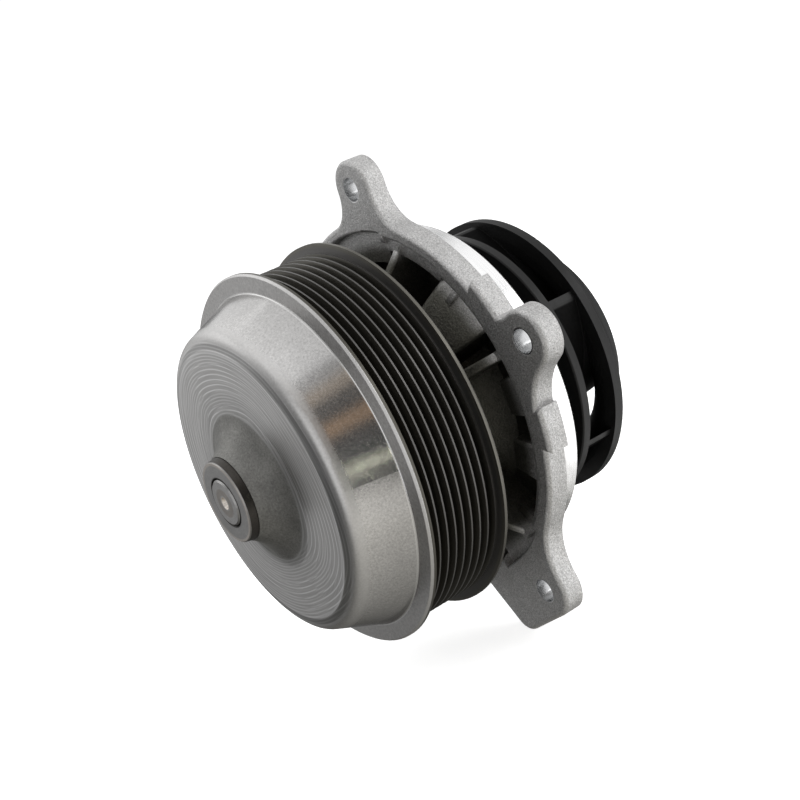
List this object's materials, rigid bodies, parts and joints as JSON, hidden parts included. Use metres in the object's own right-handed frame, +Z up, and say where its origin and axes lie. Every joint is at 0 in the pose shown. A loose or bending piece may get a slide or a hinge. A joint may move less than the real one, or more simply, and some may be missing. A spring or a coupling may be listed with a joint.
{
  "type": "water pump",
  "caption": "Belt-driven engine coolant pump: dished multi-groove pulley on a bearing snout, flanged cast body with bolt ears and a spigot, and a closed impeller.",
  "frame": {"origin": "where the shaft axis meets the mounting face that bolts against the engine", "axes": "+Y along the shaft from the pulley to the impeller, +Z up, +X to the right seen from the pulley"},
  "size_m": [0.183, 0.1582, 0.1913],
  "materials": {
    "cast_aluminium": "grainy sand-cast skin, spigot turned bright",
    "pulley_steel": "turned and lightly phosphated, concentric tool marks on the face",
    "hub_steel": "turned, darker side",
    "shaft_steel": "ground",
    "bearing_steel": "ground and polished",
    "spring_steel": "phosphated",
    "stainless_steel": "pressed, smooth",
    "insert_steel": "turned",
    "seal_carbon": "lapped carbon graphite",
    "seal_ceramic": "lapped silicon carbide",
    "black_rubber": "moulded",
    "ring_seal_rubber": "moulded",
    "cage_polymer": "moulded polyamide",
    "black_polymer": "glass-filled, satin"
  },
  "bodies": {
    "housing": {"casting": "cast_aluminium", "bearing_outer_ring": "bearing_steel", "front_bearing_seal": "black_rubber", "rear_bearing_seal": "black_rubber", "bearing_circlip": "spring_steel", "seal_cup": "stainless_steel", "seal_spring": "stainless_steel", "seal_bellows": "black_rubber", "seal_carbon_ring": "seal_carbon", "seal_retainer": "stainless_steel", "flange_ring_seal": "ring_seal_rubber"},
    "rotor": {"shaft": "shaft_steel", "pulley": "pulley_steel", "pulley_hub": "hub_steel", "water_slinger": "stainless_steel", "mating_ring": "seal_ceramic", "mating_ring_boot": "black_rubber", "impeller_insert": "insert_steel", "impeller": "black_polymer", "impeller_shroud": "black_polymer"},
    "ball_set": {"bearing_balls": "bearing_steel", "ball_cage": "cage_polymer"},
    "roller_set": {"bearing_rollers": "bearing_steel", "roller_cage": "cage_polymer"}
  },
  "joints": [
    {"name": "rotor_spin", "type": "hinge", "parent": "housing", "child": "rotor", "pos_m": [0, 0, 0], "axis": [0, 1, 0], "continuous": true},
    {"name": "ball_set_orbit", "type": "hinge", "parent": "housing", "child": "ball_set", "pos_m": [0, -0.05, 0], "axis": [0, 1, 0], "continuous": true},
    {"name": "roller_set_orbit", "type": "hinge", "parent": "housing", "child": "roller_set", "pos_m": [0, -0.024, 0], "axis": [0, 1, 0], "continuous": true}
  ],
  "couplings": [
    {"joint": "ball_set_orbit", "follows": "rotor_spin", "ratio": 0.3548},
    {"joint": "roller_set_orbit", "follows": "rotor_spin", "ratio": 0.3823}
  ]
}
